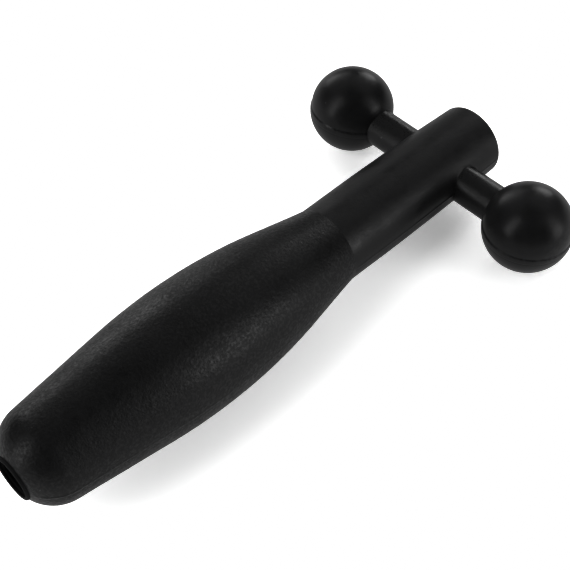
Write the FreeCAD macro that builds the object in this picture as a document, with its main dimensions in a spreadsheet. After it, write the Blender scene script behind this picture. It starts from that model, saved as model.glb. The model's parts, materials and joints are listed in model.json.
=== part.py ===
import FreeCAD, Part
import math
import os

import Sketcher

# Reflex hammer: a bulb-shaped rubber grip runs into a slimmer rubber neck, and a crossbar through
# the neck's head carries a rubber striking ball at each end. A steel spine inside ties the parts together.
# Lengths are in millimetres and angles in degrees. While it is being built the hammer's axis is X,
# from the butt (0) to the head end, and the crossbar lies along Y.

DIMENSIONS = [
    ("overall_length", 168),
    ("bulb_station", 57),
    ("bulb_radius", 17.9),
    ("bulb_arc", 168),
    ("rear_taper", 6.8),
    ("front_taper", 11),
    ("butt_round", 11.3),
    ("butt_round_middle", 40),
    ("crease_station", 106),
    ("crease_radius", 11.6),
    ("neck_station", 125.6),
    ("neck_radius", 11.75),
    ("head_radius", 11.1),
    ("head_round", 1),
    ("rubber_wall", 3),
    ("glue_gap", 0.05),
    ("hole_radius", 5.4),
    ("ferrule_wall", 1),
    ("ferrule_depth", 12),
    ("ferrule_round", 0.4),
    ("bar_station", 152),
    ("bar_radius", 5.6),
    ("rod_radius", 4),
    ("rod_thread_radius", 3),
    ("rod_thread_start", 24),
    ("rod_thread_length", 13),
    ("rod_flat_length", 10),
    ("rod_flat_depth", 0.5),
    ("ball_radius", 13),
    ("ball_station", 34.4),
    ("flash_height", 0.25),
    ("flash_width", 0.5),
    ("insert_radius", 6.5),
    ("insert_flange_radius", 8.2),
    ("insert_flange_start", 5),
    ("insert_flange_width", 3),
    ("insert_length", 16),
    ("insert_thread_relief", 0.5),
    ("block_radius", 8.55),
    ("block_length", 29),
    ("spine_radius", 4),
    ("spine_start", 30),
    ("spine_engagement", 9.5),
    ("spine_tap_depth", 20),
    ("nut_thickness", 4.5),
    ("nut_across_flats", 13),
    ("screw_radius", 2.5),
    ("screw_length", 30),
    ("screw_head_radius", 4.75),
    ("screw_head_height", 2.75),
    ("screw_face_radius", 2.6),
    ("screw_dome_radius", 4),
    ("screw_dome_depth", 0.75),
    ("screw_head_edge", 0.55),
    ("screw_well_radius", 5),
    ("screw_key_width", 3),
    ("screw_key_depth", 1.6),
    ("lock_washer_radius", 4.55),
    ("lock_washer_thickness", 1.4),
    ("lock_washer_slit", 0.8),
    ("washer_thickness", 1.2),
    ("washer_radius", 4.85),
    ("set_screw_radius", 3),
    ("set_screw_length", 8),
    ("set_screw_key_width", 3),
    ("set_screw_key_depth", 3.5),
    ("end_chamfer", 0.6),
    ("clearance", 0.05),
]

# Stations along the hammer's axis that several parts share.
BLOCK_FRONT = "(dims.overall_length - dims.rubber_wall)"
BLOCK_REAR = f"({BLOCK_FRONT} - dims.block_length)"
NUT_REAR = f"({BLOCK_REAR} - dims.nut_thickness)"
SPINE_FRONT = f"({BLOCK_REAR} + dims.spine_engagement)"
HEAD_SEAT = f"(dims.ferrule_depth + dims.screw_head_height)"
WASHER_FACE = f"({HEAD_SEAT} + dims.lock_washer_thickness)"
WELL_FLOOR = f"({WASHER_FACE} + dims.washer_thickness)"

# Radii that a part and its neighbour share, the hole a little larger than what it holds.
NECK_BORE = "(dims.block_radius + dims.glue_gap)"
FERRULE_OUTSIDE = "(dims.hole_radius + dims.ferrule_wall)"
FERRULE_BORE = f"({FERRULE_OUTSIDE} + dims.glue_gap)"
BAR_BORE = "(dims.bar_radius + dims.glue_gap)"
ROD_BORE = "(dims.rod_radius + dims.clearance)"
SPINE_BORE = "(dims.spine_radius + dims.clearance)"
SCREW_BORE = "(dims.screw_radius + dims.clearance)"
SET_SCREW_BORE = "(dims.set_screw_radius + dims.clearance)"


def make_sheet(document):
    sheet = document.addObject("Spreadsheet::Sheet", "dims")
    for row, (alias, value) in enumerate(DIMENSIONS, start=1):
        sheet.set(f"A{row}", alias)
        sheet.set(f"B{row}", str(value))
        sheet.setAlias(f"B{row}", alias)
    document.recompute()


def size(document, expression):
    return float(document.getObject("dims").evalExpression(expression))


def new_body(document, label):
    body = document.addObject("PartDesign::Body", label)
    body.Label = label
    return body


def new_sketch(body, plane, name):
    sketch = body.newObject("Sketcher::SketchObject", f"{body.Label}_{name}")
    support = next(f for f in body.Origin.OriginFeatures if f.Role == plane)
    sketch.AttachmentSupport = (support, [""])
    sketch.MapMode = "FlatFace"
    return sketch


def pin_point(sketch, geometry, end, x, y):
    """Hold a point of the sketch at two sheet expressions, or on an axis where one is 0."""
    for kind, axis, expression in (("DistanceX", -2, x), ("DistanceY", -1, y)):
        if expression == "0":
            sketch.addConstraint(Sketcher.Constraint("PointOnObject", geometry, end, axis))
            continue
        distance = size(sketch.Document, expression)
        held = sketch.addConstraint(Sketcher.Constraint(kind, -1, 1, geometry, end, distance))
        sketch.setExpression(f"Constraints[{held}]", expression)


def draw_outline(sketch, steps):
    """Closed outline. A step (x, y) starts a straight edge and (x, y, through_x, through_y) starts an arc."""
    document = sketch.Document
    corners = [FreeCAD.Vector(size(document, s[0]), size(document, s[1]), 0) for s in steps]
    starts = []
    ends = []
    for number, step in enumerate(steps):
        start = corners[number]
        finish = corners[(number + 1) % len(steps)]
        if len(step) == 2:
            edge = sketch.addGeometry(Part.LineSegment(start, finish), False)
        else:
            through = FreeCAD.Vector(size(document, step[2]), size(document, step[3]), 0)
            edge = sketch.addGeometry(Part.Arc(start, through, finish), False)
        forward = sketch.getPoint(edge, 1).distanceToPoint(start) < 1e-6
        starts.append((edge, 1 if forward else 2))
        ends.append((edge, 2 if forward else 1))
    for number, step in enumerate(steps):
        following = starts[(number + 1) % len(steps)]
        sketch.addConstraint(Sketcher.Constraint("Coincident", *ends[number], *following))
        pin_point(sketch, *starts[number], step[0], step[1])
    for number, step in enumerate(steps):
        if len(step) == 4:
            through = FreeCAD.Vector(size(document, step[2]), size(document, step[3]), 0)
            point = sketch.addGeometry(Part.Point(through), True)
            pin_point(sketch, point, 1, step[2], step[3])
            sketch.addConstraint(Sketcher.Constraint("PointOnObject", point, 1, starts[number][0]))


def draw_circle(sketch, x, y, radius):
    centre = FreeCAD.Vector(size(sketch.Document, x), size(sketch.Document, y), 0)
    reach = size(sketch.Document, radius)
    edge = sketch.addGeometry(Part.Circle(centre, FreeCAD.Vector(0, 0, 1), reach), False)
    pin_point(sketch, edge, 3, x, y)
    held = sketch.addConstraint(Sketcher.Constraint("Radius", edge, reach))
    sketch.setExpression(f"Constraints[{held}]", radius)


def draw_hexagon(sketch, across_flats):
    """Regular hexagon about the sketch's origin, one corner on its horizontal axis."""
    width = size(sketch.Document, across_flats)
    corner_radius = width / math.sqrt(3)
    corners = []
    for number in range(6):
        angle = math.radians(60 * number)
        corners.append(FreeCAD.Vector(corner_radius * math.cos(angle), corner_radius * math.sin(angle), 0))
    edges = []
    for number in range(6):
        edges.append(sketch.addGeometry(Part.LineSegment(corners[number], corners[(number + 1) % 6]), False))
    ring = sketch.addGeometry(Part.Circle(FreeCAD.Vector(), FreeCAD.Vector(0, 0, 1), corner_radius), True)
    sketch.addConstraint(Sketcher.Constraint("Coincident", ring, 3, -1, 1))
    for number in range(6):
        sketch.addConstraint(Sketcher.Constraint("Coincident", edges[number], 2, edges[(number + 1) % 6], 1))
        sketch.addConstraint(Sketcher.Constraint("PointOnObject", edges[number], 1, ring))
    for number in range(5):
        sketch.addConstraint(Sketcher.Constraint("Equal", edges[number], edges[number + 1]))
    sketch.addConstraint(Sketcher.Constraint("PointOnObject", edges[0], 1, -1))
    held = sketch.addConstraint(Sketcher.Constraint("Diameter", ring, 2 * corner_radius))
    sketch.setExpression(f"Constraints[{held}]", f"2 * {across_flats} / sqrt(3)")


def turn(body, name, steps):
    """Solid turned about the body's own X axis."""
    sketch = new_sketch(body, "XY_Plane", name)
    draw_outline(sketch, steps)
    turned = body.newObject("PartDesign::Revolution", f"{body.Label}_{name}_turned")
    turned.Profile = sketch
    turned.ReferenceAxis = (sketch, ["H_Axis"])
    turned.Angle = 360
    body.Document.recompute()
    return turned


def turn_away(body, name, steps):
    """Cut turned about the body's own X axis."""
    sketch = new_sketch(body, "XY_Plane", name)
    draw_outline(sketch, steps)
    cut = body.newObject("PartDesign::Groove", f"{body.Label}_{name}_groove")
    cut.Profile = sketch
    cut.ReferenceAxis = (sketch, ["H_Axis"])
    cut.Angle = 360
    finish_cut(body, cut)


def cut_through(body, sketch, name):
    """Cut both ways from the sketch's plane, through everything."""
    cut = body.newObject("PartDesign::Pocket", f"{body.Label}_{name}")
    cut.Profile = sketch
    cut.Type = "ThroughAll"
    cut.Midplane = True
    finish_cut(body, cut)


def cut_key(body, name, station, across_flats, depth, towards_head):
    """Hexagonal key socket sunk along the body's X axis from the given station."""
    sketch = new_sketch(body, "YZ_Plane", name)
    draw_hexagon(sketch, across_flats)
    sketch.setExpression("AttachmentOffset.Base.z", station)
    cut = body.newObject("PartDesign::Pocket", f"{body.Label}_{name}_socket")
    cut.Profile = sketch
    cut.Reversed = towards_head
    cut.setExpression("Length", depth)
    finish_cut(body, cut)


def finish_cut(body, cut):
    """Recompute and make sure that the cut took material away."""
    body.Document.recompute()
    if cut.Shape.Volume >= cut.BaseFeature.Shape.Volume - 1e-6:
        raise RuntimeError(f"{cut.Name} removes nothing")


def grip_line(inset):
    """Outline of the grip, a constant inset inside the rubber's surface: where the butt's
    rounding ends, where the bulb's arc starts, peaks and ends, and the rounding's centre."""
    rear_x = "dims.bulb_station - dims.bulb_arc * sin(dims.rear_taper)"
    rear_r = "dims.bulb_radius - dims.bulb_arc * (1 - cos(dims.rear_taper))"
    round_x = "dims.butt_round * (1 - sin(dims.rear_taper))"
    round_r = f"({rear_r}) - (({rear_x}) - {round_x}) * tan(dims.rear_taper)"
    centre_r = f"({round_r} - dims.butt_round * cos(dims.rear_taper))"
    small_arc = f"(dims.butt_round - {inset})"
    large_arc = f"(dims.bulb_arc - {inset})"
    arc_centre_r = "(dims.bulb_radius - dims.bulb_arc)"
    return {
        "centre_r": centre_r,
        "small_arc": small_arc,
        "round_end": (
            f"dims.butt_round - {small_arc} * sin(dims.rear_taper)",
            f"{centre_r} + {small_arc} * cos(dims.rear_taper)",
        ),
        "bulb_start": (
            f"dims.bulb_station - {large_arc} * sin(dims.rear_taper)",
            f"{arc_centre_r} + {large_arc} * cos(dims.rear_taper)",
        ),
        "bulb_peak": ("dims.bulb_station", f"{arc_centre_r} + {large_arc}"),
        "bulb_end": (
            f"dims.bulb_station + {large_arc} * sin(dims.front_taper)",
            f"{arc_centre_r} + {large_arc} * cos(dims.front_taper)",
        ),
    }


def on_rounding(line, radius):
    """Station at which the butt's rounding has the given radius."""
    return f"dims.butt_round - sqrt({line['small_arc']} ^ 2 - ({radius} - {line['centre_r']}) ^ 2)"


def rounding_middle(line):
    """A point near the middle of the butt's rounding, at a set angle from the hammer's axis."""
    return (
        f"dims.butt_round - {line['small_arc']} * cos(dims.butt_round_middle)",
        f"{line['centre_r']} + {line['small_arc']} * sin(dims.butt_round_middle)",
    )


def make_grip_sleeve(document):
    body = new_body(document, "grip_sleeve")
    skin = grip_line("0")
    inner = grip_line("dims.rubber_wall")
    turn(body, "outline", [
        (on_rounding(skin, FERRULE_BORE), FERRULE_BORE, *rounding_middle(skin)),
        skin["round_end"],
        (*skin["bulb_start"], *skin["bulb_peak"]),
        skin["bulb_end"],
        ("dims.crease_station", "dims.crease_radius"),
        ("dims.crease_station", NECK_BORE),
        (*inner["bulb_end"], *inner["bulb_peak"]),
        inner["bulb_start"],
        (*inner["round_end"], *rounding_middle(inner)),
        (on_rounding(inner, FERRULE_BORE), FERRULE_BORE),
    ])
    return body


def make_handle_core(document):
    body = new_body(document, "handle_core")
    line = grip_line("(dims.rubber_wall + dims.glue_gap)")
    turn(body, "outline", [
        (on_rounding(line, FERRULE_BORE), FERRULE_BORE, *rounding_middle(line)),
        line["round_end"],
        (*line["bulb_start"], *line["bulb_peak"]),
        line["bulb_end"],
        ("dims.crease_station", "dims.block_radius"),
        (NUT_REAR, "dims.block_radius"),
        (NUT_REAR, SPINE_BORE),
        ("dims.spine_start", SPINE_BORE),
        ("dims.spine_start", SCREW_BORE),
        (WELL_FLOOR, SCREW_BORE),
        (WELL_FLOOR, "dims.screw_well_radius"),
        ("dims.ferrule_depth", "dims.screw_well_radius"),
        ("dims.ferrule_depth", FERRULE_BORE),
    ])
    return body


def make_neck_sleeve(document):
    body = new_body(document, "neck_sleeve")
    rim_slope = "(1 - cos(45)) * dims.head_round"
    turn(body, "outline", [
        ("dims.crease_station", NECK_BORE),
        ("dims.crease_station", "dims.crease_radius", "dims.neck_station", "dims.neck_radius"),
        (
            "dims.overall_length - dims.head_round",
            "dims.head_radius",
            f"dims.overall_length - {rim_slope}",
            f"dims.head_radius - {rim_slope}",
        ),
        ("dims.overall_length", "dims.head_radius - dims.head_round"),
        ("dims.overall_length", "0"),
        (BLOCK_FRONT, "0"),
        (BLOCK_FRONT, NECK_BORE),
    ])
    sketch = new_sketch(body, "XZ_Plane", "bar_hole")
    draw_circle(sketch, "dims.bar_station", "0", BAR_BORE)
    cut_through(body, sketch, "bar_bore")
    return body


def make_butt_ferrule(document):
    body = new_body(document, "butt_ferrule")
    lip = "(1 - cos(45)) * dims.ferrule_round"
    turn(body, "outline", [
        ("0", "dims.hole_radius + dims.ferrule_round"),
        (
            "0",
            f"{FERRULE_OUTSIDE} - dims.ferrule_round",
            lip,
            f"{FERRULE_OUTSIDE} - {lip}",
        ),
        ("dims.ferrule_round", FERRULE_OUTSIDE),
        ("dims.ferrule_depth", FERRULE_OUTSIDE),
        ("dims.ferrule_depth", "dims.hole_radius"),
        ("dims.ferrule_round", "dims.hole_radius", lip, f"dims.hole_radius + {lip}"),
    ])
    return body


def make_butt_screw(document):
    """Button-head screw that pulls the spine back against the handle's core."""
    body = new_body(document, "butt_screw")
    face = "(dims.ferrule_depth + dims.clearance)"
    turn(body, "outline", [
        (face, "0"),
        (face, "dims.screw_face_radius", f"{face} + dims.screw_dome_depth", "dims.screw_dome_radius"),
        (f"{HEAD_SEAT} - dims.screw_head_edge", "dims.screw_head_radius"),
        (HEAD_SEAT, "dims.screw_head_radius"),
        (HEAD_SEAT, "dims.screw_radius"),
        (f"{HEAD_SEAT} + dims.screw_length", "dims.screw_radius"),
        (f"{HEAD_SEAT} + dims.screw_length", "0"),
    ])
    cut_key(body, "key", face, "dims.screw_key_width", "dims.screw_key_depth", True)
    return body


def make_ring(document, label, rear, front, inner, outer):
    body = new_body(document, label)
    turn(body, "outline", [(rear, inner), (rear, outer), (front, outer), (front, inner)])
    return body


def make_lock_washer(document):
    """Split spring washer under the screw's head."""
    body = make_ring(document, "lock_washer", HEAD_SEAT, WASHER_FACE, SCREW_BORE, "dims.lock_washer_radius")
    sketch = new_sketch(body, "XZ_Plane", "slit")
    half = "dims.lock_washer_slit / 2"
    rear = f"{HEAD_SEAT} - dims.lock_washer_thickness"
    front = f"{WASHER_FACE} + dims.lock_washer_thickness"
    draw_outline(sketch, [(rear, f"-{half}"), (front, f"-{half}"), (front, half), (rear, half)])
    cut = body.newObject("PartDesign::Pocket", "lock_washer_slit")
    cut.Profile = sketch
    cut.Type = "ThroughAll"
    finish_cut(body, cut)
    return body


def make_butt_washer(document):
    return make_ring(document, "butt_washer", WASHER_FACE, WELL_FLOOR, SCREW_BORE, "dims.washer_radius")


def make_spine_rod(document):
    body = new_body(document, "spine_rod")
    tap_end = "dims.spine_start + dims.spine_tap_depth"
    turn(body, "outline", [
        ("dims.spine_start", SCREW_BORE),
        ("dims.spine_start", "dims.spine_radius"),
        (SPINE_FRONT, "dims.spine_radius"),
        (SPINE_FRONT, "0"),
        (tap_end, "0"),
        (tap_end, SCREW_BORE),
    ])
    return body


def make_spine_nut(document):
    """Thin hexagon nut that locks the spine in the head block."""
    body = new_body(document, "spine_lock_nut")
    sketch = new_sketch(body, "YZ_Plane", "hexagon")
    draw_hexagon(sketch, "dims.nut_across_flats")
    draw_circle(sketch, "0", "0", SPINE_BORE)
    sketch.setExpression("AttachmentOffset.Base.z", NUT_REAR)
    pad = body.newObject("PartDesign::Pad", "spine_lock_nut_pad")
    pad.Profile = sketch
    pad.setExpression("Length", "dims.nut_thickness")
    document.recompute()
    return body


def make_head_block(document):
    """Steel weight in the head: the crossbar passes through it, and the spine screws into its rear."""
    body = new_body(document, "head_block")
    turn(body, "outline", [
        (BLOCK_REAR, SPINE_BORE),
        (BLOCK_REAR, "dims.block_radius"),
        (BLOCK_FRONT, "dims.block_radius"),
        (BLOCK_FRONT, SET_SCREW_BORE),
        ("dims.bar_station", SET_SCREW_BORE),
        ("dims.bar_station", "0"),
        (SPINE_FRONT, "0"),
        (SPINE_FRONT, SPINE_BORE),
    ])
    sketch = new_sketch(body, "XZ_Plane", "rod_hole")
    draw_circle(sketch, "dims.bar_station", "0", ROD_BORE)
    cut_through(body, sketch, "rod_bore")
    return body


def make_set_screw(document):
    """Grub screw that bears on the crossbar's flat from the head end."""
    body = new_body(document, "head_set_screw")
    tip = "(dims.bar_station + dims.rod_radius - dims.rod_flat_depth)"
    tail = f"({tip} + dims.set_screw_length)"
    turn(body, "outline", [
        (tip, "0"),
        (tip, "dims.set_screw_radius - dims.end_chamfer"),
        (f"{tip} + dims.end_chamfer", "dims.set_screw_radius"),
        (f"{tail} - dims.end_chamfer", "dims.set_screw_radius"),
        (tail, "dims.set_screw_radius - dims.end_chamfer"),
        (tail, "0"),
    ])
    cut_key(body, "key", tail, "dims.set_screw_key_width", "dims.set_screw_key_depth", False)
    return body


def make_crossbar_rod(document):
    """Steel rod along its own X axis, with a threaded spigot at each end and a flat for the set screw."""
    body = new_body(document, "crossbar_rod")
    thread_end = "(dims.rod_thread_start + dims.rod_thread_length)"
    turn(body, "outline", [
        (f"-{thread_end}", "0"),
        (f"-{thread_end}", "dims.rod_thread_radius - dims.end_chamfer"),
        (f"-{thread_end} + dims.end_chamfer", "dims.rod_thread_radius"),
        ("-dims.rod_thread_start", "dims.rod_thread_radius"),
        ("-dims.rod_thread_start", "dims.rod_radius"),
        ("dims.rod_thread_start", "dims.rod_radius"),
        ("dims.rod_thread_start", "dims.rod_thread_radius"),
        (f"{thread_end} - dims.end_chamfer", "dims.rod_thread_radius"),
        (thread_end, "dims.rod_thread_radius - dims.end_chamfer"),
        (thread_end, "0"),
    ])
    sketch = new_sketch(body, "XY_Plane", "flat")
    half = "dims.rod_flat_length / 2"
    flat = "-(dims.rod_radius - dims.rod_flat_depth)"
    outside = "-(dims.rod_radius + dims.rod_flat_depth)"
    draw_outline(sketch, [(f"-{half}", flat), (half, flat), (half, outside), (f"-{half}", outside)])
    cut_through(body, sketch, "flat_cut")
    return body


def make_crossbar_sleeve(document, side):
    """Rubber tube over one arm of the crossbar, from the head block into the ball."""
    root = "dims.block_radius + 2 * dims.glue_gap"
    tip = "dims.rod_thread_start - dims.clearance"
    return make_ring(document, f"crossbar_sleeve_{side}", root, tip, ROD_BORE, "dims.bar_radius")


def insert_outline(gap, near_wall):
    """Outline of a ball's threaded insert and its flange, grown by the gap and ending in near_wall."""
    start = "dims.rod_thread_start"
    flange_start = f"{start} + dims.insert_flange_start - {gap}"
    flange_end = f"{start} + dims.insert_flange_start + dims.insert_flange_width + {gap}"
    end = f"{start} + dims.insert_length + {gap}"
    return [
        (start, f"dims.insert_radius + {gap}"),
        (flange_start, f"dims.insert_radius + {gap}"),
        (flange_start, f"dims.insert_flange_radius + {gap}"),
        (flange_end, f"dims.insert_flange_radius + {gap}"),
        (flange_end, f"dims.insert_radius + {gap}"),
        (end, f"dims.insert_radius + {gap}"),
        *near_wall,
    ]


def make_ball(document, side):
    """Rubber ball with a moulding seam in the plane of handle and crossbar, hollowed for its insert."""
    body = new_body(document, f"ball_{side}")
    near_pole = "(dims.ball_station - dims.ball_radius)"
    turn(body, "outline", [
        (near_pole, "0", "dims.ball_station", "dims.ball_radius"),
        ("dims.ball_station + dims.ball_radius", "0"),
    ])
    sketch = new_sketch(body, "XY_Plane", "flash")
    draw_circle(sketch, "dims.ball_station", "0", "dims.ball_radius + dims.flash_height")
    flash = body.newObject("PartDesign::Pad", f"ball_{side}_flash_pad")
    flash.Profile = sketch
    flash.Midplane = True
    flash.setExpression("Length", "dims.flash_width")
    document.recompute()
    end = "dims.rod_thread_start + dims.insert_length + dims.glue_gap"
    turn_away(body, "hollow", [
        ("dims.block_radius", "0"),
        ("dims.block_radius", BAR_BORE),
        ("dims.rod_thread_start", BAR_BORE),
        *insert_outline("dims.glue_gap", [(end, "0")]),
    ])
    return body


def make_ball_insert(document, side):
    """Brass hub moulded into the ball, which screws onto the crossbar's spigot."""
    body = new_body(document, f"ball_insert_{side}")
    thread = "dims.rod_thread_radius + dims.clearance"
    floor = "dims.rod_thread_start + dims.rod_thread_length + dims.insert_thread_relief"
    end = "dims.rod_thread_start + dims.insert_length"
    turn(body, "outline", insert_outline("0", [
        (end, "0"),
        (floor, "0"),
        (floor, thread),
        ("dims.rod_thread_start", thread),
    ]))
    return body


def rest_tilt(document):
    """Angle of the hammer's axis to the table, head low, when it lies on the bulb and both balls."""
    reach = size(document, "dims.bar_station - dims.bulb_station")
    depth = size(document, "dims.bulb_arc - dims.bulb_radius")
    step = size(document, "dims.bulb_arc - dims.ball_radius")
    return math.degrees(math.atan2(reach, depth) - math.acos(step / math.hypot(reach, depth)))


def lay_on_table(document, straight, crossing):
    """Place every part as the hammer lies at rest: Z up, and the origin under the middle of its box."""
    laid = FreeCAD.Rotation(FreeCAD.Vector(0, 1, 0), rest_tilt(document))
    centre = FreeCAD.Vector(size(document, "dims.bar_station"), 0, 0)
    local = {body: FreeCAD.Placement() for body in straight}
    for body, turn_angle in crossing:
        local[body] = FreeCAD.Placement(centre, FreeCAD.Rotation(FreeCAD.Vector(0, 0, 1), turn_angle))
    tilted = FreeCAD.Placement(FreeCAD.Vector(), laid)
    for body, placement in local.items():
        body.Placement = tilted * placement
    document.recompute()
    box = Part.makeCompound([body.Shape for body in local]).optimalBoundingBox(False)
    shift = FreeCAD.Vector(-(box.XMin + box.XMax) / 2, 0, -box.ZMin)
    for body in local:
        body.Placement = FreeCAD.Placement(shift, FreeCAD.Rotation()) * body.Placement
    document.recompute()


def check(document, bodies):
    for item in document.Objects:
        if "Invalid" in item.State or "Error" in item.State:
            raise RuntimeError(f"{item.Name} failed: {item.State}")
    for body in bodies:
        if body.Shape.isNull() or not body.Shape.isValid() or len(body.Shape.Solids) != 1:
            raise RuntimeError(f"{body.Label} is not one valid solid")


def export(bodies):
    os.makedirs("parts", exist_ok=True)
    for body in bodies:
        body.Shape.exportStep(os.path.join("parts", f"{body.Label}.step"))


def main():
    document = FreeCAD.newDocument("reflex_hammer")
    make_sheet(document)
    straight = [
        make_grip_sleeve(document),
        make_handle_core(document),
        make_neck_sleeve(document),
        make_butt_ferrule(document),
        make_butt_screw(document),
        make_lock_washer(document),
        make_butt_washer(document),
        make_spine_rod(document),
        make_spine_nut(document),
        make_head_block(document),
        make_set_screw(document),
    ]
    crossing = [(make_crossbar_rod(document), 90)]
    for side, turn_angle in (("left", 90), ("right", -90)):
        crossing.append((make_crossbar_sleeve(document, side), turn_angle))
        crossing.append((make_ball(document, side), turn_angle))
        crossing.append((make_ball_insert(document, side), turn_angle))
    lay_on_table(document, straight, crossing)
    bodies = straight + [body for body, turn_angle in crossing]
    check(document, bodies)
    export(bodies)


main()
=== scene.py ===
import json
import math

import bmesh
import bpy
import numpy as np
from mathutils import Matrix, Vector, noise


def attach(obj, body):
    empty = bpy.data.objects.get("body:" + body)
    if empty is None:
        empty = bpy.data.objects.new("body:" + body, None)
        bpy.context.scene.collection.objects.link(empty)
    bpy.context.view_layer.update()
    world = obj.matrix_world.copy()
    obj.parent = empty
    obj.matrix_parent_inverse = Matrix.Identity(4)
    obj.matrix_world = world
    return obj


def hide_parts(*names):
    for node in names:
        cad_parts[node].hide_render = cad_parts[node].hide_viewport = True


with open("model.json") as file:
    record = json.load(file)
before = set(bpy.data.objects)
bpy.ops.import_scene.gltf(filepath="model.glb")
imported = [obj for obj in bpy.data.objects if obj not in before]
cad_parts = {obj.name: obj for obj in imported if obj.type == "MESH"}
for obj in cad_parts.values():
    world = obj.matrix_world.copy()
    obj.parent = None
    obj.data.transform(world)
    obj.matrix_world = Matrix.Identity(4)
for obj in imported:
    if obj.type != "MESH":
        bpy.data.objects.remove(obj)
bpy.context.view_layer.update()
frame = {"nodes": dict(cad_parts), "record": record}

# The looks of a reflex hammer. Lengths are in metres, as in the frame, unless a name says otherwise.
# Hammer coordinates run along X from the butt (0) to the head, Y along the crossbar and Z out of the
# plane of handle and crossbar, which is also the plane where the rubber's two mould halves met.
# A station is a distance along a turned part's axis, and a reach is a distance from that axis.

MM = 0.001

# Mesh density.
RING_STEP = 0.45 * MM
RING_STEP_MIN = 0.12 * MM
GRIP_STEP = 0.4 * MM
GRIP_LINING_STRIDE = 12
GRIP_SEGMENTS = 265
NECK_SEGMENTS = 200
NECK_FACE_RINGS = 24
BAR_SEGMENTS = 120
BALL_SEGMENTS = 200
BALL_RINGS = 110
FERRULE_SEGMENTS = 160
SEAM_DEGREES = (0.5, 1.0, 1.6, 2.4, 3.4)
CREASE_ANGLE = math.radians(38)

# Points closer than TOUCH count as one, and a reach under POLE_REACH is on the axis. GAP is the room
# between rubber and what it covers, a cutter starts OVERSHOOT outside its piece, a hub's flange stands
# out by more than FLANGE_STEP, and SKIN_BAND is how deep a ball's outer surface goes.
TOUCH = 0.01 * MM
POLE_REACH = 1e-7
GAP = 0.05 * MM
OVERSHOOT = 1 * MM
FLANGE_STEP = 0.5 * MM
SKIN_BAND = 1 * MM

# The grip, neck and crossbar: sink marks and waves as (size, seed, share), the sandblast's pits, the
# mould seam, which a palm has worn low on the grip, and the low collar round the crossbar's hole.
GRIP_UNEVENNESS = 0.07 * MM
GRIP_WAVES = ((7 * MM, 3.1, 0.6), (2.6 * MM, 8.4, 0.4))
GRIP_FADE_REAR = 2 * MM
GRIP_FADE_FRONT = 3 * MM
GRAIN_DEPTH = 0.045 * MM
GRAIN_WAVES = ((1.05 * MM, 2.7, 1.0),)
NECK_UNEVENNESS = 0.05 * MM
NECK_WAVES = ((8 * MM, 5.7, 0.7), (3 * MM, 1.9, 0.3))
NECK_FADE_REAR = 3 * MM
NECK_FADE_FRONT = 2 * MM
BAR_UNEVENNESS = 0.03 * MM
BAR_WAVE_SIZE = 3.5 * MM
BAR_WAVE_SEED = {"left": 5.4, "right": 3.4}
SEAM_HEIGHT = 0.15 * MM
SEAM_WIDTH = 0.34 * MM
SEAM_WORN = 0.3
SEAM_WORN_FROM = 16 * MM
COLLAR_RISE = 0.16 * MM
COLLAR_WIDTH = 0.6 * MM

# The balls. Where the mould halves meet, some ragged flash is left and the upper half falls short of the
# lower one, and a witness line runs below. Heights are degrees above the seam as seen from the ball's
# centre, and each ball's seam stops at its own angle about the crossbar when the ball is screwed tight.
BALL_UNEVENNESS = 0.03 * MM
BALL_WAVINESS = 2.4
FLASH_LEFT = 0.25
FLASH_WIDTH = 0.3 * MM
FLASH_RAGGEDNESS = 0.4
FLASH_WAVINESS = 9
STEP_DEPTH = 0.34 * MM
STEP_EDGE = 0.13 * MM
STEP_REACH = 3.5 * MM
WITNESS_HEIGHT = -8.0
WITNESS_DEPTH = 0.05 * MM
WITNESS_WIDTH = 0.16 * MM
LINES_LOW = -10.0
LINES_HIGH = 3.2
LINES_STEP = 0.4
SEAM_TURN = {"left": 8.0, "right": 1.0}

# The ring in the butt's hole.
LIP_INSIDE = 0.3 * MM
LIP_OUTSIDE = 0.5 * MM
LIP_STEP_DEGREES = 15
LIP_RING_STEP = 0.1 * MM
LIP_UNEVENNESS = 0.12 * MM
LIP_WAVES = ((1.8 * MM, 6.6, 1.0),)
RIB_PITCH = 0.9 * MM
RIB_DEPTH = 0.12 * MM
RIB_RING_STEP = 0.15 * MM

# How worn the edges are, from 0 to 1, and how far the wear goes.
BUTT_WEAR = 0.7
BUTT_WEAR_LENGTH = 3 * MM
RIM_WEAR = 0.6
RIM_WEAR_LENGTH = 1.2 * MM
RIM_BAND = 1.5 * MM
SEAM_WEAR = 0.5
SEAM_WEAR_WIDTH = 0.5 * MM
STRIKE_WEAR = 0.5
STRIKE_FROM = 0.75


# ---------------------------------------------------------------- where the hammer lies

def hammer_axes():
    """Hammer coordinates to the row frame, read from the butt's bore and the ferrule in its mouth."""
    bore = next(m for m in frame["record"]["mounts"] if m["name"] == "butt_bore")
    along = -Vector(bore["axis"]).normalized()
    across = Vector((0, 1, 0))
    up = along.cross(across)
    middle = Vector(bore["pos_m"])
    rear = min((v.co - middle).dot(along) for v in frame["nodes"]["butt_ferrule"].data.vertices)
    turn = Matrix((along, across, up)).transposed().to_4x4()
    return Matrix.Translation(middle + rear * along) @ turn


AXES = hammer_axes()


def hammer_points(mesh):
    """A mesh's vertices in hammer coordinates."""
    points = np.empty(len(mesh.vertices) * 3)
    mesh.vertices.foreach_get("co", points)
    inverse = np.array(AXES.inverted())
    return points.reshape(-1, 3) @ inverse[:3, :3].T + inverse[:3, 3]


def node_points(node):
    return hammer_points(frame["nodes"][node].data)


def measure_bar():
    """Station of the crossbar's axis, and the radius of the crossbar's hole through the neck."""
    sleeve = node_points("crossbar_sleeve_left")
    low, high = sleeve.min(0), sleeve.max(0)
    return (low[0] + high[0]) / 2, (high[2] - low[2]) / 2 + GAP


BAR_STATION, BAR_HOLE = measure_bar()


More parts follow.
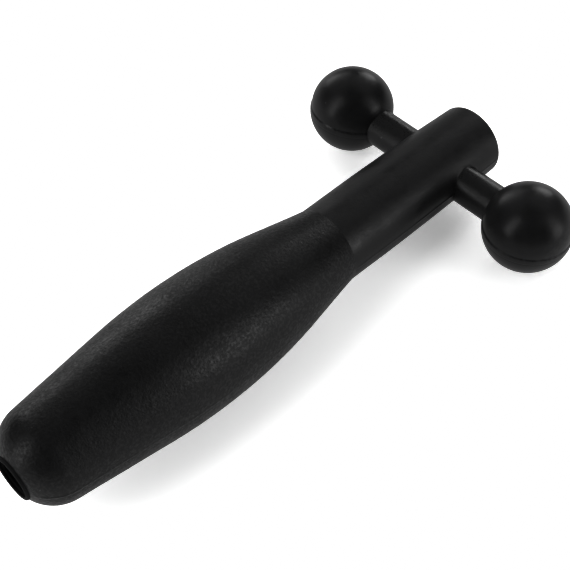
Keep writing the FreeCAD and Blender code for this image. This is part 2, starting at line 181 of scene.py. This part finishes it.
def handle_reach(points):
    return np.hypot(points[:, 1], points[:, 2])


def bar_reach(points):
    return np.hypot(points[:, 0] - BAR_STATION, points[:, 2])


def outside_line(node):
    """Outside of a part turned about the handle's axis, from its rear to its front, as (station, reach)."""
    points = node_points(node)
    pairs = np.column_stack([points[:, 0], handle_reach(points)])
    chain = []
    for point in np.unique(pairs.round(6), axis=0):
        while len(chain) > 1:
            before, after = chain[-1] - chain[-2], point - chain[-2]
            if before[0] * after[1] - before[1] * after[0] < 0:
                break
            chain.pop()
        if len(chain) == 1 and point[0] - chain[0][0] < TOUCH:
            chain.pop()
        chain.append(point)
    return np.array(chain)


def even_steps(line, step):
    """The line with its long stretches divided into steps and its crowded points thinned out."""
    kept = [line[0]]
    for point in line[1:]:
        gap = np.linalg.norm(point - kept[-1])
        if gap < RING_STEP_MIN:
            continue
        count = math.ceil(gap / step)
        start = kept[-1]
        kept += [start + (point - start) * i / count for i in range(1, count + 1)]
    kept[-1] = line[-1]
    return np.array(kept)


def inset(line, depth):
    """The line moved towards the handle's axis by the depth, square to itself."""
    slope = np.gradient(line, axis=0)
    slope /= np.linalg.norm(slope, axis=1)[:, None]
    return line + depth * np.column_stack([slope[:, 1], -slope[:, 0]])


# ---------------------------------------------------------------- mesh building

def even_angles(count):
    return np.linspace(0, 2 * math.pi, count, endpoint=False)


def seam_angles(count):
    """Angles round the axis, even but for finer steps either side of the mould seam at 90 and 270 degrees."""
    seams = (math.pi / 2, 3 * math.pi / 2)
    fine = np.radians(SEAM_DEGREES)
    clear = fine[-1] + math.pi / count
    angles = [angle for seam in seams for angle in (seam, *(seam + fine), *(seam - fine))]
    angles += [angle for angle in even_angles(count) if min(abs(angle - seam) for seam in seams) > clear]
    return np.array(sorted(angles))


def spin(loop, angles, ring_reach=None):
    """Points and faces of a closed loop of (station, reach) turned about X. A reach of 0 makes a pole.
    ring_reach(number, station, reach, angles) gives the reach round one ring, where it isn't plain."""
    points = []
    rows = []
    for number, (station, reach) in enumerate(loop):
        if reach < POLE_REACH:
            rows.append([len(points)])
            points.append((station, 0.0, 0.0))
            continue
        around = reach if ring_reach is None else ring_reach(number, station, reach, angles)
        rows.append(list(range(len(points), len(points) + len(angles))))
        points += list(zip(np.full(len(angles), station), around * np.sin(angles), around * np.cos(angles)))
    return np.array(points), bands(rows + rows[:1])


def bands(rows):
    """Faces between each ring of vertex numbers and the next."""
    return [face for row, following in zip(rows, rows[1:]) for face in band(row, following)]


def band(row, following):
    """Faces between two rings of vertex numbers, where either ring may be a pole."""
    count = max(len(row), len(following))
    if count == 1:
        return []
    faces = []
    for i in range(count):
        j = (i + 1) % count
        if len(row) == 1:
            faces.append((row[0], following[j], following[i]))
        elif len(following) == 1:
            faces.append((row[i], row[j], following[0]))
        else:
            faces.append((row[i], row[j], following[j], following[i]))
    return faces


def spin_about_bar(loop):
    """A solid turned about the crossbar's axis, from a loop of (distance along the bar, reach)."""
    points, faces = spin(loop, even_angles(BAR_SEGMENTS))
    return np.column_stack([BAR_STATION + points[:, 1], points[:, 0], points[:, 2]]), faces


def new_piece(name, points, faces, material, slot, *nodes):
    """A mesh piece in the row frame that rides on the body and stands for the CAD nodes."""
    mesh = bpy.data.meshes.new(name)
    mesh.from_pydata([tuple(p) for p in points], [], faces)
    mesh.validate()
    recalculate_normals(mesh)
    mesh.transform(AXES)
    mesh.materials.append(material)
    piece = bpy.data.objects.new(name, mesh)
    bpy.context.scene.collection.objects.link(piece)
    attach(piece, "root")
    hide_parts(*nodes)
    return piece


def recalculate_normals(mesh):
    work = bmesh.new()
    work.from_mesh(mesh)
    bmesh.ops.recalc_face_normals(work, faces=work.faces)
    work.to_mesh(mesh)
    work.free()


def soften(piece):
    """Smooth shading with sharp corners kept."""
    piece.data.shade_smooth()
    piece.data.set_sharp_from_angle(angle=CREASE_ANGLE)


def cut_away(piece, points, faces):
    """Cut a solid, given in hammer coordinates, out of the piece."""
    mesh = bpy.data.meshes.new("cutter")
    mesh.from_pydata([tuple(p) for p in points], [], faces)
    recalculate_normals(mesh)
    mesh.transform(AXES)
    cutter = bpy.data.objects.new("cutter", mesh)
    bpy.context.scene.collection.objects.link(cutter)
    cut = piece.modifiers.new("cut", "BOOLEAN")
    cut.operation = "DIFFERENCE"
    cut.solver = "EXACT"
    cut.object = cutter
    graph = bpy.context.evaluated_depsgraph_get()
    result = bpy.data.meshes.new_from_object(piece.evaluated_get(graph))
    piece.modifiers.clear()
    clean_cut(result)
    old = piece.data
    piece.data = result
    bpy.data.meshes.remove(old)
    bpy.data.objects.remove(cutter)
    bpy.data.meshes.remove(mesh)


def clean_cut(mesh):
    """Join the nearly equal points that a cut leaves, and split its many-sided faces about their middles."""
    work = bmesh.new()
    work.from_mesh(mesh)
    bmesh.ops.remove_doubles(work, verts=work.verts, dist=TOUCH)
    bmesh.ops.dissolve_degenerate(work, edges=work.edges, dist=TOUCH)
    bmesh.ops.poke(work, faces=[face for face in work.faces if len(face.verts) > 4])
    work.to_mesh(mesh)
    work.free()


def wear(piece, values):
    """Store how worn each vertex is, from 0 to 1, for the materials."""
    layer = piece.data.attributes.new("wear", "FLOAT", "POINT")
    layer.data.foreach_set("value", np.clip(values, 0, 1).astype(np.float32))


# ---------------------------------------------------------------- surface detail

def waves(station, angles, reach, layers):
    """Smooth unevenness, from 0 to 1, over one ring: layers of (size, seed, share) added up."""
    total = 0
    for size, seed, share in layers:
        values = []
        for angle in angles:
            place = Vector((station, reach * math.sin(angle), reach * math.cos(angle))) / size
            values.append(0.5 + 0.5 * noise.noise(place + Vector((seed, 0, 0))))
        total = total + share * np.array(values)
    return total


def bell(distance, width):
    """1 at the middle, falling to nothing a few widths away."""
    return np.exp(-(distance / width) ** 2)


def fade(distance, length):
    """0 at an edge, 1 further than the length from it."""
    return np.clip(distance / length, 0, 1)


def seam_ridge(reach, angles):
    """Height of the mould seam's ridge where the plane of handle and crossbar meets the surface."""
    return SEAM_HEIGHT * bell(reach * np.cos(angles), SEAM_WIDTH)


def mismatch(height):
    """How far the upper mould half falls short of the lower one: most just above the seam, nothing well
    above or below it."""
    return math.exp(-max(height, 0) / STEP_REACH) / (1 + math.exp(-height / STEP_EDGE))


# ---------------------------------------------------------------- materials

class Shader:
    """A material's node tree, with short ways to add and link nodes."""

    MIX_SHARE, MIX_FIRST, MIX_SECOND, MIX_RESULT = 0, 6, 7, 2

    def __init__(self, name):
        self.material = bpy.data.materials.new(name)
        self.material.use_nodes = True
        self.tree = self.material.node_tree
        self.surface = self.tree.nodes["Principled BSDF"]
        self.place = self.tree.nodes.new("ShaderNodeTexCoord").outputs["Object"]

    def connect(self, socket, value):
        """Link the value to the socket if it is another node's output, or else set it."""
        if isinstance(value, bpy.types.NodeSocket):
            self.tree.links.new(value, socket)
        else:
            socket.default_value = value

    def feed(self, name, value):
        self.connect(self.surface.inputs[name], value)

    def add(self, kind, inputs=None, **settings):
        node = self.tree.nodes.new(f"ShaderNode{kind}")
        for name, value in settings.items():
            setattr(node, name, value)
        for name, value in (inputs or {}).items():
            self.connect(node.inputs[name], value)
        return node

    def noise(self, size, detail=2.0, roughness=0.5, place=None):
        """Noise with features of about the given size in metres, mostly from 0.3 to 0.7."""
        inputs = {"Vector": place or self.place, "Scale": 1 / size, "Detail": detail, "Roughness": roughness}
        return self.add("TexNoise", inputs).outputs["Fac"]

    def cells(self, size):
        """Rounded cells of about the given size in metres, 0 in their middles."""
        inputs = {"Vector": self.place, "Scale": 1 / size}
        return self.add("TexVoronoi", inputs, feature="SMOOTH_F1").outputs["Distance"]

    def math(self, operation, first, second):
        return self.add("Math", {0: first, 1: second}, operation=operation).outputs[0]

    def spread(self, value, low, high, to_low, to_high):
        """The value's range from low to high stretched onto another range."""
        inputs = {"Value": value, "From Min": low, "From Max": high, "To Min": to_low, "To Max": to_high}
        return self.add("MapRange", inputs).outputs["Result"]

    def colours(self, value, *stops):
        """A colour ramp of two (position, colour) stops."""
        ramp = self.add("ValToRGB", {"Fac": value})
        for element, (position, colour) in zip(ramp.color_ramp.elements, stops):
            element.position = position
            element.color = (*colour, 1)
        return ramp.outputs["Color"]

    def tones(self, value, tone, *stops):
        """Greys about a tone, as a colour ramp of two (position, times the tone) stops."""
        return self.colours(value, *((position, grey(tone * times)) for position, times in stops))

    def blend(self, share, first, second):
        """A mix of two colours."""
        node = self.add("Mix", data_type="RGBA")
        self.connect(node.inputs[self.MIX_SHARE], share)
        self.connect(node.inputs[self.MIX_FIRST], first)
        self.connect(node.inputs[self.MIX_SECOND], second)
        return node.outputs[self.MIX_RESULT]

    def bump(self, height, depth, below=None):
        """A bump of the given depth in metres for a height from 0 to 1, on top of the bump below."""
        inputs = {"Height": height, "Distance": depth, "Strength": 1.0}
        if below is not None:
            inputs["Normal"] = below
        return self.add("Bump", inputs).outputs["Normal"]


def grey(value):
    return (value, value, value * 1.03)


DUST_TONE = 0.13
SCUFF_LIGHTER = 2.4
GLINT_ROUGHNESS = 0.28


def rubber(name, *, tone, grain_size, grain_depth, roughness, specular, clouding, mottling, glint=0):
    """Black moulded rubber: fine grain, cloudy tone, duller and shinier patches, scuffs and specks of dust.
    Clouding is how far the sheen drifts over large patches, mottling how much small patches and single
    grains differ, and glint how strongly polished grain tops shine."""
    shader = Shader(name)
    cloud = shader.noise(9 * MM, detail=4)
    mottle = shader.noise(1.8 * MM, detail=3, roughness=0.6)
    fine = shader.noise(grain_size, detail=2, roughness=0.6)
    worn = shader.add("Attribute", attribute_name="wear").outputs["Fac"]
    shader.feed("Base Color", rubber_colour(shader, tone, mottling, cloud, mottle, fine, worn))
    shader.feed("Roughness", rubber_sheen(shader, roughness, clouding, mottling, cloud, mottle, fine, worn))
    shader.feed("Specular IOR Level", specular)
    if glint:
        polished = shader.noise(0.75 * MM, detail=2)
        shader.feed("Coat Weight", shader.spread(polished, 0.48, 0.62, 0, glint))
        shader.feed("Coat Roughness", GLINT_ROUGHNESS)
    pits = shader.cells(grain_size * 1.6)
    grain = shader.math("ADD", shader.math("MULTIPLY", fine, 0.7), shader.math("MULTIPLY", pits, 0.4))
    ripple = shader.bump(shader.noise(2.2 * MM, detail=2), 0.03 * MM)
    shader.feed("Normal", shader.bump(grain, grain_depth, ripple))
    return shader.material


def rubber_colour(shader, tone, mottling, cloud, mottle, fine, worn):
    """Cloudy black with mottles and grains, lighter scuffs where it is worn, and a few specks of dust."""
    tint = shader.tones(cloud, tone, (0.3, 0.75), (0.7, 1.3))
    speck = shader.tones(fine, tone, (0.35, 0.7), (0.68, 1.4))
    blotch = shader.tones(mottle, tone, (0.36, 0.7), (0.64, 1.35))
    colour = shader.blend(0.5 * mottling, tint, speck)
    colour = shader.blend(0.35 * mottling, colour, blotch)
    scratched = shader.spread(shader.noise(1.2 * MM, detail=5), 0.4, 0.62, 0, 1)
    scuff = shader.math("MULTIPLY", worn, scratched)
    colour = shader.blend(scuff, colour, (*grey(tone * SCUFF_LIGHTER), 1))
    dust = shader.spread(shader.cells(7 * MM), 0.012, 0.03, 1, 0)
    return shader.blend(dust, colour, (*grey(DUST_TONE), 1))


def rubber_sheen(shader, roughness, clouding, mottling, cloud, mottle, fine, worn):
    """Roughness that drifts with the clouds, differs between mottles and grains, and is lower where worn."""
    sheen = shader.spread(cloud, 0.35, 0.65, roughness - clouding, roughness + clouding)
    sheen = shader.math("ADD", sheen, shader.spread(mottle, 0.36, 0.64, -0.05 * mottling, 0.05 * mottling))
    sheen = shader.math("ADD", sheen, shader.spread(fine, 0.3, 0.7, -0.1 * mottling, 0.1 * mottling))
    return shader.math("SUBTRACT", sheen, shader.math("MULTIPLY", worn, 0.06))


def moulded_plastic(name, tone, roughness):
    """Moulded plastic: faint flow clouding and fine scratches."""
    shader = Shader(name)
    cloud = shader.noise(5 * MM, detail=4)
    scratches = shader.noise(0.3 * MM, detail=5, roughness=0.7)
    shader.feed("Base Color", shader.tones(cloud, tone, (0.3, 0.75), (0.7, 1.3)))
    shader.feed("Roughness", shader.spread(scratches, 0.3, 0.7, roughness - 0.07, roughness + 0.1))
    shader.feed("Specular IOR Level", 0.22)
    shader.feed("Normal", shader.bump(scratches, 0.02 * MM))
    return shader.material


def metal(name, colour, roughness, tool_mark):
    """Machined metal: tool marks across the turning axis, and tarnish clouds."""
    shader = Shader(name)
    stretched = shader.add("Mapping", {"Vector": shader.place, "Scale": tool_mark}).outputs["Vector"]
    marks = shader.noise(0.25 * MM, detail=3, place=stretched)
    cloud = shader.noise(4 * MM, detail=5)
    darker = tuple(0.72 * c for c in colour)
    shader.feed("Base Color", shader.colours(cloud, (0.32, darker), (0.62, colour)))
    shader.feed("Metallic", 1.0)
    shader.feed("Roughness", shader.spread(marks, 0.3, 0.7, roughness - 0.1, roughness + 0.12))
    shader.feed("Normal", shader.bump(marks, 0.01 * MM))
    return shader.material


ALONG_HANDLE = (6.0, 1.0, 1.0)
ALONG_CROSSBAR = (1.0, 6.0, 1.0)

MATERIALS = {
    "textured_rubber": rubber(
        "textured_rubber", tone=0.020, grain_size=0.50 * MM, grain_depth=0.12 * MM, roughness=0.43,
        specular=0.44, clouding=0.05, mottling=0.6, glint=0.34),
    "smooth_rubber": rubber(
        "smooth_rubber", tone=0.030, grain_size=0.42 * MM, grain_depth=0.045 * MM, roughness=0.43,
        specular=0.46, clouding=0.08, mottling=0.6),
    "bar_rubber": rubber(
        "bar_rubber", tone=0.028, grain_size=0.42 * MM, grain_depth=0.025 * MM, roughness=0.33,
        specular=0.44, clouding=0.05, mottling=0.5),
    "ball_rubber": rubber(
        "ball_rubber", tone=0.036, grain_size=0.40 * MM, grain_depth=0.006 * MM, roughness=0.34,
        specular=0.33, clouding=0.03, mottling=0.25),
    "ferrule_plastic": moulded_plastic("ferrule_plastic", 0.034, 0.72),
    "core_nylon": moulded_plastic("core_nylon", 0.05, 0.5),
    "turned_steel": metal("turned_steel", (0.56, 0.57, 0.58), 0.32, ALONG_HANDLE),
    "fastener_steel": metal("fastener_steel", (0.6, 0.6, 0.58), 0.38, ALONG_HANDLE),
    "insert_brass": metal("insert_brass", (0.72, 0.55, 0.27), 0.34, ALONG_CROSSBAR),
}


def paint_frame():
    """Give every CAD node the material of its own slot."""
    for part in frame["record"]["subparts"]:
        node = frame["nodes"][part["node"]]
        node.data.materials.clear()
        node.data.materials.append(MATERIALS[part["material_slot"]])


# ---------------------------------------------------------------- the pieces

def make_grip():
    """Textured rubber over the bulb-shaped grip."""
    outside = even_steps(outside_line("grip_sleeve"), GRIP_STEP)
    rear, bore = outside[0]
    front, skin = outside[-1]
    points = node_points("grip_sleeve")
    wall = skin - handle_reach(points)[points[:, 0] > front - TOUCH].min()
    inside = inset(outside, wall)
    inside = inside[(inside[:, 1] > bore) & (inside[:, 0] < front)][::-GRIP_LINING_STRIDE]
    loop = np.vstack([outside, [(front, skin - wall)], inside, [(inside[-1, 0], bore)]])

    def ring_reach(number, station, reach, angles):
        if number >= len(outside):
            return reach
        ends = fade(station - rear, GRIP_FADE_REAR) * fade(front - station, GRIP_FADE_FRONT)
        dents = GRIP_UNEVENNESS * waves(station, angles, reach, GRIP_WAVES)
        pits = GRAIN_DEPTH * waves(station, angles, reach, GRAIN_WAVES)
        left = SEAM_WORN + (1 - SEAM_WORN) * math.exp(-(station - rear) / SEAM_WORN_FROM)
        return reach - ends * (dents + pits - left * seam_ridge(reach, angles))

    made = spin(loop, seam_angles(GRIP_SEGMENTS), ring_reach)
    piece = new_piece("grip_rubber", *made, MATERIALS["textured_rubber"], "textured_rubber", "grip_sleeve")
    soften(piece)
    from_butt = hammer_points(piece.data)[:, 0] - rear
    wear(piece, BUTT_WEAR * np.exp(-from_butt / BUTT_WEAR_LENGTH))


def make_neck():
    """Smooth rubber over the neck, closed at the head, with the crossbar's hole through it."""
    outside = even_steps(outside_line("neck_sleeve"), RING_STEP)
    rear = outside[0, 0]
    front, skin = outside[-1]
    points = node_points("neck_sleeve")
    reaches = handle_reach(points)
    bore = reaches[points[:, 0] < rear + TOUCH].min()
    bottom = points[(reaches < bore + TOUCH) & (points[:, 0] < front - TOUCH), 0].max()
    face = [(front, reach) for reach in np.linspace(skin, 0, NECK_FACE_RINGS)[1:]]
    loop = np.vstack([outside, face, [(bottom, 0.0), (bottom, bore), (rear, bore)]])

    def ring_reach(number, station, reach, angles):
        if number >= len(outside):
            return reach
        ends = fade(station - rear, NECK_FADE_REAR) * fade(front - station, NECK_FADE_FRONT)
        dents = NECK_UNEVENNESS * ends * waves(station, angles, reach, NECK_WAVES)
        from_hole = np.hypot(station - BAR_STATION, reach * np.cos(angles)) - BAR_HOLE
        collar = COLLAR_RISE * np.clip(1 - from_hole / COLLAR_WIDTH, 0, 1) ** 2
        return reach - dents + ends * seam_ridge(reach, angles) + collar

    made = spin(loop, seam_angles(NECK_SEGMENTS), ring_reach)
    piece = new_piece("neck_rubber", *made, MATERIALS["smooth_rubber"], "smooth_rubber", "neck_sleeve")
    through = 2 * outside[:, 1].max()
    cut_away(piece, *spin_about_bar([(-through, 0), (-through, BAR_HOLE), (through, BAR_HOLE), (through, 0)]))
    soften(piece)
    place = hammer_points(piece.data)
    rim = np.exp(-np.abs(place[:, 0] - front) / RIM_WEAR_LENGTH) * (handle_reach(place) > skin - RIM_BAND)
    wear(piece, RIM_WEAR * rim)


def make_bar_sleeve(side, sign):
    """Satin rubber tube over one arm of the crossbar."""
    node = f"crossbar_sleeve_{side}"
    points = node_points(node)
    out = sign * points[:, 1]
    reaches = bar_reach(points)
    root, tip, skin, bore = out.min(), out.max(), reaches.max(), reaches.min()
    outside = even_steps(np.array([(root, skin), (tip, skin)]), RING_STEP)
    loop = np.vstack([outside, [(tip, bore), (root, bore)]])
    layers = ((BAR_WAVE_SIZE, BAR_WAVE_SEED[side], 1.0),)

    def ring_reach(number, along, reach, angles):
        if number >= len(outside):
            return reach
        return reach - BAR_UNEVENNESS * waves(along, angles, reach, layers)

    made, faces = spin(loop, seam_angles(BAR_SEGMENTS), ring_reach)
    placed = np.column_stack([BAR_STATION + made[:, 1], sign * made[:, 0], made[:, 2]])
    name = f"crossbar_rubber_{side}"
    piece = new_piece(name, placed, faces, MATERIALS["bar_rubber"], "smooth_rubber", node)
    soften(piece)
    wear(piece, np.zeros(len(placed)))


def make_ball(side, sign):
    """Smooth rubber striking ball with its mould lines, hollow for the crossbar's arm and the hub."""
    node = f"ball_{side}"
    centre, radius, flash = measure_ball(node, sign)
    points, faces = ball_surface(radius, flash, sign)
    turn = np.array(Matrix.Rotation(math.radians(SEAM_TURN[side]), 3, "Y"))
    placed = points @ turn.T + centre
    name = f"ball_rubber_{side}"
    piece = new_piece(name, placed, faces, MATERIALS["ball_rubber"], "ball_rubber", node)
    cut_away(piece, *spin_about_bar(ball_hollow(side, sign, sign * centre[1] - radius - OVERSHOOT)))
    soften(piece)
    from_centre = hammer_points(piece.data) - centre
    on_surface = np.linalg.norm(from_centre, axis=1) > radius - SKIN_BAND
    seam = bell(from_centre @ turn[:, 2], SEAM_WEAR_WIDTH) * on_surface
    strike = fade(sign * from_centre[:, 1] / radius - STRIKE_FROM, 1 - STRIKE_FROM)
    wear(piece, SEAM_WEAR * seam + STRIKE_WEAR * strike)


def measure_ball(node, sign):
    """A ball's centre, its radius, and how far its flash stands out."""
    points = node_points(node)
    centre = (points.max(0) + points.min(0)) / 2
    centre[2] = 0
    radius = (points[:, 2].max() - points[:, 2].min()) / 2
    flash = (points[:, 0].max() - points[:, 0].min()) / 2 - radius
    centre[1] = sign * ((sign * points[:, 1]).max() - radius - flash)
    return centre, radius, flash


def ball_surface(radius, flash, sign):
    """Points and faces of a ball about its own centre, with its seam level."""
    heights = [height for height in np.linspace(-90, 90, BALL_RINGS) if not LINES_LOW < height < LINES_HIGH]
    heights = sorted([*heights, *np.arange(LINES_LOW, LINES_HIGH, LINES_STEP)])
    angles = even_angles(BALL_SEGMENTS)
    points = []
    rows = []
    for height in heights:
        if height in (heights[0], heights[-1]):
            rows.append([len(points)])
            points.append((0, 0, math.copysign(radius, height)))
            continue
        tilt = math.radians(height)
        rows.append(list(range(len(points), len(points) + len(angles))))
        for angle in angles:
            way = Vector((math.cos(tilt) * math.cos(angle), math.cos(tilt) * math.sin(angle), math.sin(tilt)))
            points.append(tuple(way * ball_reach(way, tilt, angle, radius, flash, sign)))
    return np.array(points), bands(rows)


def ball_reach(way, tilt, angle, radius, flash, sign):
    """Distance from a ball's centre to its surface along the way."""
    around = Vector((FLASH_WAVINESS * math.cos(angle), FLASH_WAVINESS * math.sin(angle), 2.0 * sign))
    ragged = 1 - FLASH_RAGGEDNESS + FLASH_RAGGEDNESS * noise.noise(around)
    ridge = FLASH_LEFT * flash * ragged * bell(radius * tilt, FLASH_WIDTH)
    step = STEP_DEPTH * mismatch(radius * tilt)
    line = WITNESS_DEPTH * bell(radius * (tilt - math.radians(WITNESS_HEIGHT)), WITNESS_WIDTH)
    dent = BALL_UNEVENNESS * (0.5 + 0.5 * noise.noise(way * BALL_WAVINESS + Vector((sign, 3, 5))))
    return radius + ridge - step - line - dent


def ball_hollow(side, sign, start):
    """Loop of the room in a ball for the crossbar's arm and the flanged hub, as (distance along, reach)."""
    tip = (sign * node_points(f"crossbar_sleeve_{side}")[:, 1]).max() + GAP
    insert = node_points(f"ball_insert_{side}")
    out = sign * insert[:, 1]
    reaches = bar_reach(insert)
    end = out.max() + GAP
    hub = reaches[out < out.min() + TOUCH].max()
    flange = out[reaches > hub + FLANGE_STEP]
    low, high = flange.min() - GAP, flange.max() + GAP
    hub += GAP
    rim = reaches.max() + GAP
    loop = [(start, 0), (start, BAR_HOLE), (tip, BAR_HOLE), (tip, hub), (low, hub),
            (low, rim), (high, rim), (high, hub), (end, hub), (end, 0)]
    return [(sign * along, reach) for along, reach in loop]


def make_ferrule():
    """Dull ring in the mouth of the butt's bore: rounded lip, moulded a little uneven, ribbed inside."""
    points = node_points("butt_ferrule")
    reaches = handle_reach(points)
    bore, skin = reaches.min(), reaches.max()
    rear, front = points[:, 0].min(), points[:, 0].max()
    arc = np.radians(range(0, 91, LIP_STEP_DEGREES))
    inner = [(rear + LIP_INSIDE * (1 - math.sin(a)), bore + LIP_INSIDE * (1 - math.cos(a))) for a in arc]
    outer = [(rear + LIP_OUTSIDE * (1 - math.cos(a)), skin - LIP_OUTSIDE * (1 - math.sin(a))) for a in arc]
    flat = even_steps(np.array([inner[-1], outer[0]]), LIP_RING_STEP)[1:-1]
    lining = even_steps(np.array([(front, bore), inner[0]]), RIB_RING_STEP)[:-1]
    loop = np.vstack([inner, flat, outer, [(front, skin)], lining])
    first_lining = len(loop) - len(lining)

    def ring_reach(number, station, reach, angles):
        if number >= first_lining:
            rib = 0.5 - 0.5 * math.cos(2 * math.pi * (front - station) / RIB_PITCH)
            return reach + RIB_DEPTH * rib
        if station > rear + LIP_INSIDE:
            return reach
        amount = LIP_UNEVENNESS * fade(skin - LIP_OUTSIDE - reach, skin - bore)
        return reach + amount * waves(station, angles, reach, LIP_WAVES)

    made = spin(loop, even_angles(FERRULE_SEGMENTS), ring_reach)
    piece = new_piece("butt_ring", *made, MATERIALS["ferrule_plastic"], "ferrule_plastic", "butt_ferrule")
    soften(piece)


# ---------------------------------------------------------------- studio

PHOTO_AZIMUTH = -40.64
PHOTO_ELEVATION = 52.77
PHOTO_ROLL = -4.03
CAMERA_TARGET = Vector((3.23, -3.04, 18.0)) * MM
CAMERA_DISTANCE = 304.48 * MM
CAMERA_LENS_MM = 71.56
CAMERA_SENSOR_MM = 36

# The hammer lies on a pale floor that glows a little, like a light table.
FLOOR_HALF = 12.0
FLOOR_TONES = (0.93, 0.95)
FLOOR_CLOUD_SIZE = 0.4
TABLE_GLOW = 0.28
BACKDROP_GLOW = 0.02

# Tall strips of light, as (name, azimuth, angular width of each part, {elevation: strength}), and
# softboxes, as (name, azimuth, elevation, angular width, strength). Their angles are in degrees.
STRIPS = (
    ("butt_strip", -108, 20, {12: 0.30, 30: 0.30, 48: 0.26}),
    ("front_strip", 26, 28, {6: 0.55, 24: 0.26, 42: 0.14}),
)
SOFTBOXES = (
    ("rear_strip", 168, 14, 24, 0.36),
    ("rear_top", -178, 50, 50, 0.20),
    ("rear_corner", 152, 26, 26, 0.22),
    ("head_side", 108, 16, 24, 0.55),
    ("head_top", 92, 52, 50, 0.28),
)

# The print's tones, as a studio photographer sets them: contrast up, and the floor washed out to white
# without touching the tones darker than DARK_TONES, where all of the hammer is.
PRINT_GAMMA = 0.75
DARK_TONES = 0.2
FLOOR_TONE = 0.5


def direction(azimuth, elevation):
    """Unit vector towards a place in the studio. Azimuth 0 is the -Y side and 90 the +X side."""
    a, e = math.radians(azimuth), math.radians(elevation)
    return Vector((math.sin(a) * math.cos(e), -math.cos(a) * math.cos(e), math.sin(e)))


def make_camera():
    back = direction(PHOTO_AZIMUTH, PHOTO_ELEVATION)
    level = (-back).cross(Vector((0, 0, 1))).normalized()
    up = level.cross(-back)
    roll = math.radians(PHOTO_ROLL)
    right = level * math.cos(roll) + up * math.sin(roll)
    top = up * math.cos(roll) - level * math.sin(roll)
    data = bpy.data.cameras.new("camera")
    data.lens = CAMERA_LENS_MM
    data.sensor_width = CAMERA_SENSOR_MM
    data.clip_start = 0.01
    data.clip_end = 100
    camera = bpy.data.objects.new("camera", data)
    bpy.context.scene.collection.objects.link(camera)
    turn = Matrix((right, top, back)).transposed().to_4x4()
    camera.matrix_world = Matrix.Translation(CAMERA_TARGET + back * CAMERA_DISTANCE) @ turn
    bpy.context.scene.camera = camera


def make_floor():
    shader = Shader("floor")
    dark, light = ((tone, tone, tone) for tone in FLOOR_TONES)
    cloud = shader.noise(FLOOR_CLOUD_SIZE, detail=3)
    shader.feed("Base Color", shader.colours(cloud, (0.3, dark), (0.7, light)))
    shader.feed("Roughness", 0.9)
    shader.feed("Specular IOR Level", 0.1)
    shader.feed("Emission Color", (1, 1, 1, 1))
    shader.feed("Emission Strength", TABLE_GLOW)
    mesh = bpy.data.meshes.new("floor")
    corners = [(-1, -1, 0), (1, -1, 0), (1, 1, 0), (-1, 1, 0)]
    mesh.from_pydata([tuple(FLOOR_HALF * c for c in corner) for corner in corners], [], [(0, 1, 2, 3)])
    mesh.materials.append(shader.material)
    floor = bpy.data.objects.new("floor", mesh)
    bpy.context.scene.collection.objects.link(floor)


def soft_light(name, azimuth, elevation, width_degrees, strength):
    """A broad, far light, as a softbox of that angular width gives."""
    data = bpy.data.lights.new(name, "SUN")
    data.energy = strength
    data.angle = math.radians(width_degrees)
    light = bpy.data.objects.new(name, data)
    light.rotation_mode = "QUATERNION"
    light.rotation_quaternion = direction(azimuth, elevation).to_track_quat("Z", "Y")
    bpy.context.scene.collection.objects.link(light)


def make_lights():
    for name, azimuth, width, strengths in STRIPS:
        for elevation, strength in strengths.items():
            soft_light(f"{name}_{elevation}", azimuth, elevation, width, strength)
    for softbox in SOFTBOXES:
        soft_light(*softbox)
    world = bpy.data.worlds.new("studio")
    world.use_nodes = True
    backdrop = world.node_tree.nodes["Background"]
    backdrop.inputs["Color"].default_value = (1, 1, 1, 1)
    backdrop.inputs["Strength"].default_value = BACKDROP_GLOW
    bpy.context.scene.world = world


def set_print_tones():
    view = bpy.context.scene.view_settings
    view.view_transform = "Standard"
    view.gamma = PRINT_GAMMA
    view.use_curve_mapping = True
    line = view.curve_mapping.curves[3]
    line.points.new(DARK_TONES, DARK_TONES)
    line.points.new(FLOOR_TONE, 1.0)
    for point in line.points:
        point.handle_type = "VECTOR"
    view.curve_mapping.update()


# ---------------------------------------------------------------- the scene

make_camera()
paint_frame()
make_grip()
make_neck()
for side, sign in (("left", 1), ("right", -1)):
    make_bar_sleeve(side, sign)
    make_ball(side, sign)
make_ferrule()
make_floor()
make_lights()
set_print_tones()
